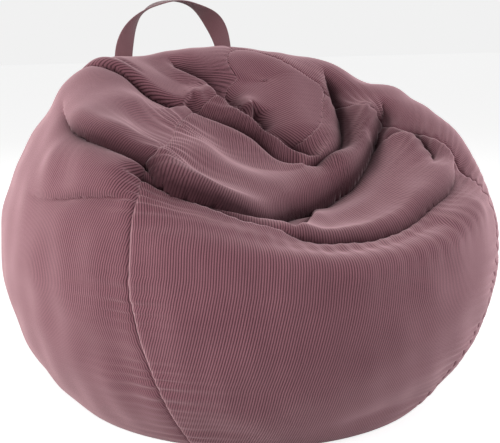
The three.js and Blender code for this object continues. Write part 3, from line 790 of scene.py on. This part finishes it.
# base: rings of the cover's lower edge drawn in to the middle of the floor
rings = np.linspace(1, 0, 16)[1:-1]
edge = folded[:, 0]
middle = np.array([edge[:, 0].mean(), edge[:, 1].mean(), 0.0])
baseEdge = edge * np.array([1, 1, 0]) * 0.995
basePoints = np.stack([lerp(middle, baseEdge, r) for r in np.concatenate([[1.0], rings])], 1)[::-1]
baseNormal = np.zeros_like(basePoints)
baseNormal[..., 2] = -1
base = shellObject("cover_base_panel_cloth", basePoints, baseNormal, basePoints, 0.002, True, True)
finishOnRoot(base, corduroy, "cover_base_panel")
coverPieces.append(base)
print("cover")


# liner and filling, inside the folded cover
# depth under the plain shape = lowest fold within "clear" metres, then the layer's own offset

thin = 3
rowsKept = np.unique(np.concatenate([np.arange(0, sideRows - 1, thin), [sideRows - 1],
                                     np.arange(sideRows - 1, folded.shape[1] - 1, thin)]))
columnsKept = np.arange(0, 3 * n, thin)


def lowestNearby(clear):
    # The lowest fold around each kept grid point, so that no inner layer shows in a crease.
    low = np.minimum(lift, 0)
    for _ in range(2):
        low = np.minimum(low, np.minimum(np.roll(low, 1, 0), np.roll(low, -1, 0)))
        padded = np.pad(low, ((0, 0), (1, 1)), mode="edge")
        low = np.minimum(low, np.minimum(padded[:, :-2], padded[:, 2:]))
    spots = plain[columnsKept][:, rowsKept].reshape(-1, 3).astype(np.float32)
    value = low[columnsKept][:, rowsKept].reshape(-1).astype(np.float32)
    dips = np.flatnonzero(value < -0.0015)
    lowest = value.copy()
    square = (spots[dips] ** 2).sum(1)
    for start in range(0, len(spots), 1000):
        part = spots[start:start + 1000]
        far = (part ** 2).sum(1)[:, None] + square[None] - 2 * part @ spots[dips].T
        nearby = np.where(far < clear ** 2, value[dips][None], 0).min(1)
        lowest[start:start + 1000] = np.minimum(lowest[start:start + 1000], nearby)
    lowest = lowest.reshape(len(columnsKept), len(rowsKept))
    for _ in range(2):
        lowest = (lowest * 2 + np.roll(lowest, 1, 0) + np.roll(lowest, -1, 0)) / 4
        padded = np.pad(lowest, ((0, 0), (1, 1)), mode="edge")
        lowest = (lowest * 2 + padded[:, :-2] + padded[:, 2:]) / 4
    return lowest


innerLift = lowestNearby(0.026)


def innerGrid(depth, floor):
    spots = plain[columnsKept][:, rowsKept] + plainNormal[columnsKept][:, rowsKept] * (
        innerLift - depth)[..., None]
    spots[..., 2] = np.maximum(spots[..., 2], floor)
    return spots


linerNames = ["liner_front_panel", "liner_right_panel", "liner_left_panel"]
inside = innerGrid(coverLook["liner"], coverLook["liner"])
insideNormal = plainNormal[columnsKept][:, rowsKept]
linerSide = int(np.searchsorted(rowsKept, sideRows - 1)) + 1
linerColumns = n // thin
for k, name in enumerate(linerNames):
    columns = np.arange(k * linerColumns, (k + 1) * linerColumns + 1) % (3 * linerColumns)
    part = inside[columns][:, :linerSide]
    o = shellObject(name + "_cloth", part, insideNormal[columns][:, :linerSide], part,
                    coverLook["linerThick"])
    finishOnRoot(o, linerCloth, name)
    coverPieces.append(o)

part = inside[:, linerSide - 1:]
linerCap = shellObject("liner_top_cap_cloth", part, insideNormal[:, linerSide - 1:], part,
                       coverLook["linerThick"], True, True)
finishOnRoot(linerCap, linerCloth, "liner_top_cap")

linerEdge = inside[:, 0]
linerMiddle = np.append(linerEdge[:, :2].mean(0), coverLook["linerFloor"])
linerFloor = linerEdge * np.array([1, 1, 0]) + np.array([0, 0, coverLook["linerFloor"]])
linerRings = np.concatenate([[0.995], np.linspace(1, 0, 10)[1:-1]])
linerBottom = np.stack([lerp(linerMiddle, linerFloor, r) for r in linerRings], 1)[::-1]
linerDown = np.zeros_like(linerBottom)
linerDown[..., 2] = -1
linerBase = shellObject("liner_base_panel_cloth", linerBottom, linerDown, linerBottom,
                        coverLook["linerThick"], True, True)
finishOnRoot(linerBase, linerCloth, "liner_base_panel")

core = innerGrid(coverLook["filling"], 0.014)
count, rows = core.shape[:2]
faces = gridFaces(count, rows, True)
foot = count * rows
for i in range(count):
    k = (i + 1) % count
    faces.append([k * rows, i * rows, foot])
    faces.append([i * rows + rows - 1, k * rows + rows - 1, foot + 1])
ends = np.array([core[:, 0].mean(0), core[:, -1].mean(0)])
filling = makeObject("bead_filling_mass", np.concatenate([core.reshape(-1, 3), ends]), faces)
finishOnRoot(filling, beads, "bead_filling")
print("liner and filling")

for k, o in enumerate(coverPieces[:3]):
    columns = panelColumns(k)


# handle: one strip of webbing, sewn down at both ends
# loop, along the fold line and up from it: u = foot sin(pi s / 2), w = gap + rise cos(pi s / 2)^0.95
# the strip lies flat to the front at its feet and turns a quarter to lie flat to the sky at its top

handle = {"wide": 0.040, "thick": 0.0024, "foot": 0.124, "rise": 0.1215, "gap": 0.0064, "sewn": 0.020,
          "steps": 121, "twist": (0.08, 0.82)}
hinge = next(j for j in frame["record"]["behaviour"]["joints"] if j["name"] == "handle_fold")
foldPoint = np.array(hinge["pos_m"])
foldAxis = unit(np.array(hinge["axis"]))
upright = np.array([0.0, 0.0, 1.0])


def strapLine():
    # Middle points and width directions along the whole strip, left end to right end.
    s = np.linspace(-1, 1, handle["steps"])[:, None]
    rise = handle["gap"] + handle["rise"] * np.cos(np.pi / 2 * np.abs(s)) ** 0.95
    loop = foldPoint + foldAxis * handle["foot"] * np.sin(np.pi / 2 * s) + upright * rise
    tangent = unit(np.gradient(loop, axis=0))
    backward = np.cross(upright, foldAxis)
    flat = unit(np.cross(backward, tangent))
    low, high = handle["twist"]
    turn = smooth((1 - np.abs(s) - low) / (high - low)) * np.pi / 2
    wide = flat * np.cos(turn) + backward * np.sin(turn)
    line, across = [loop], [wide]
    for side in (-1, 1):
        name = "handle_end_left" if side < 0 else "handle_end_right"
        low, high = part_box(name)
        middle = (np.array(low) + np.array(high)) / 2
        foot = foldPoint + foldAxis * handle["foot"] * side
        lift = np.array([0.0, 0.0006, 0.0012])
        down = unit(middle - foot)
        run = np.linspace(0.003, 0.002 + 2 * handle["sewn"], 22)[:, None]
        part = foot + lift + down * run
        width = np.repeat(-side * foldAxis[None], len(part), 0)
        line = [part[::-1]] + line if side < 0 else line + [part]
        across = [width] + across if side < 0 else across + [width]
    return np.concatenate(line), np.concatenate(across)


def smoothRun(points, rounds):
    for _ in range(rounds):
        points[1:-1] = (points[:-2] + 2 * points[1:-1] + points[2:]) / 4
    return points


def stripObject(name, middle, wide, tangent, width, thick):
    # A rounded strip: eight corners carried along the middle line.
    flatWay = unit(np.cross(tangent, wide))
    a, b = width / 2, thick / 2
    corners = [(a, -b * 0.4), (a, b * 0.4), (a - b, b), (-a + b, b), (-a, b * 0.4), (-a, -b * 0.4),
               (-a + b, -b), (a - b, -b)]
    ring = np.stack([middle + wide * c + flatWay * d for c, d in corners], 1)
    count, size = ring.shape[:2]
    i = np.arange(count - 1)[:, None]
    j = np.arange(size)[None, :]
    k = (j + 1) % size
    quads = np.stack([i * size + j, i * size + k, (i + 1) * size + k, (i + 1) * size + j], -1)
    faces = quads.reshape(-1, 4).tolist()
    faces.append(list(range(size))[::-1])
    faces.append([(count - 1) * size + q for q in range(size)])
    o = makeObject(name, ring.reshape(-1, 3), faces)
    run = np.concatenate([[0], np.cumsum(np.linalg.norm(np.diff(middle, axis=0), axis=1))])
    across = np.array([c for c, _ in corners])
    cloth = np.stack([np.broadcast_to(across, (count, size)),
                      np.broadcast_to(run[:, None], (count, size)), np.zeros((count, size))], -1)
    attribute = o.data.attributes.new("cloth", "FLOAT_VECTOR", "POINT")
    attribute.data.foreach_set("vector", cloth.astype(np.float32).ravel())
    return o, run[-1]


strapMiddle, strapWide = strapLine()
strapMiddle = smoothRun(strapMiddle, 6)
strapWide = smoothRun(strapWide, 10)
strapTangent = unit(np.gradient(strapMiddle, axis=0))
strapWide = unit(strapWide - strapTangent * (strapWide * strapTangent).sum(1)[:, None])
strap, strapLength = stripObject("handle_strap", strapMiddle, strapWide, strapTangent, handle["wide"],
                                 handle["thick"])
strap.data.materials.append(webbing)
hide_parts("handle_loop", "handle_end_left", "handle_end_right")
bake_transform(strap)
print("strap", round(strapLength, 3))

cadLooks = {
    "zip_tape_left": zipTape, "zip_tape_right": zipTape, "zip_coil_left": zipCoil, "zip_coil_right": zipCoil,
    "zip_bottom_stop": nickel, "zip_top_stop": nickel, "zip_slider": nickel, "zip_pull_tab": nickel,
    "liner_zip_tape_left": paleZip, "liner_zip_tape_right": paleZip, "liner_zip_coil_left": paleZip,
    "liner_zip_coil_right": paleZip, "liner_zip_bottom_stop": nickel, "liner_zip_top_stop": nickel,
    "liner_zip_slider": nickel, "handle_stitch_left": threadLook, "handle_stitch_right": threadLook,
    "care_label": labelLook,
}
for name, material in cadLooks.items():
    mesh = frame["nodes"][name].data
    mesh.materials.clear()
    mesh.materials.append(material)
print("fittings")


# floor, light and camera

def areaLight(name, location, target, size, power, colour):
    data = bpy.data.lights.new(name, "AREA")
    data.shape = "RECTANGLE"
    data.size, data.size_y = size
    data.energy = power
    data.color = colour
    o = bpy.data.objects.new(name, data)
    o.location = location
    o.rotation_euler = (Vector(target) - Vector(location)).to_track_quat("-Z", "Y").to_euler()
    bpy.context.scene.collection.objects.link(o)
    return o


def viewSide(azimuth, elevation, distance, target):
    a, e = math.radians(azimuth), math.radians(elevation)
    back = Vector((math.sin(a) * math.cos(e), -math.cos(a) * math.cos(e), math.sin(e)))
    return Vector(target) + back * distance


floorMesh = bpy.data.meshes.new("floor")
floorMesh.from_pydata([(-12, -12, 0), (12, -12, 0), (12, 12, 0), (-12, 12, 0)], [], [(0, 1, 2, 3)])
floorObject = bpy.data.objects.new("floor", floorMesh)
bpy.context.scene.collection.objects.link(floorObject)
floorMesh.transform(Matrix.Translation((0, 0, -0.0006)))
floorLook, floorTree, floorShader = newMaterial("floor")
floorShader.inputs["Base Color"].default_value = (0.55, 0.55, 0.55, 1)
floorShader.inputs["Roughness"].default_value = 0.8
floorShader.inputs["Emission Color"].default_value = (1, 1, 1, 1)
floorSeen = floorTree.nodes.new("ShaderNodeLightPath")
floorTree.links.new(mathNode(floorTree, "MULTIPLY", floorSeen.outputs["Is Camera Ray"], 0.74),
                    floorShader.inputs["Emission Strength"])
floorMesh.materials.append(floorLook)

world = bpy.data.worlds.new("studio")
bpy.context.scene.world = world
world.use_nodes = True
backdrop = world.node_tree.nodes["Background"]
backdrop.inputs[0].default_value = (1, 1, 1, 1)
seen = world.node_tree.nodes.new("ShaderNodeLightPath")
level = world.node_tree.nodes.new("ShaderNodeMath")
level.operation = "MULTIPLY_ADD"
level.inputs[1].default_value = 0.60
level.inputs[2].default_value = 0.28
world.node_tree.links.new(seen.outputs["Is Camera Ray"], level.inputs[0])
world.node_tree.links.new(level.outputs[0], backdrop.inputs[1])

shot = {"azimuth": -30, "elevation": 12, "distance": 1.9, "target": (0, 0, 0.31), "lens": 70.5}
areaLight("key", viewSide(-85, 20, 2.6, (0, 0, 0.3)), (0, 0, 0.32), (1.4, 1.4), 46, (1, 0.98, 0.96))
areaLight("fill", viewSide(-10, 18, 3.0, (0, 0, 0.3)), (0, 0, 0.3), (2.0, 1.6), 22, (1, 0.99, 1))
areaLight("side", viewSide(65, 26, 2.8, (0, 0, 0.3)), (0, 0, 0.35), (1.4, 1.4), 34, (1, 0.99, 1))
areaLight("back", viewSide(165, 38, 3.0, (0, 0, 0.3)), (0, 0, 0.4), (1.8, 1.4), 14, (1, 1, 1))
camera = bpy.data.cameras.new("camera")
camera.lens = shot["lens"]
camera.sensor_width = 36
cameraObject = bpy.data.objects.new("camera", camera)
cameraObject.location = viewSide(shot["azimuth"], shot["elevation"], shot["distance"], shot["target"])
aim = Vector(shot["target"]) - cameraObject.location
cameraObject.rotation_euler = aim.to_track_quat("-Z", "Y").to_euler()
bpy.context.scene.collection.objects.link(cameraObject)
bpy.context.scene.camera = cameraObject
bpy.context.scene.view_settings.view_transform = "Standard"
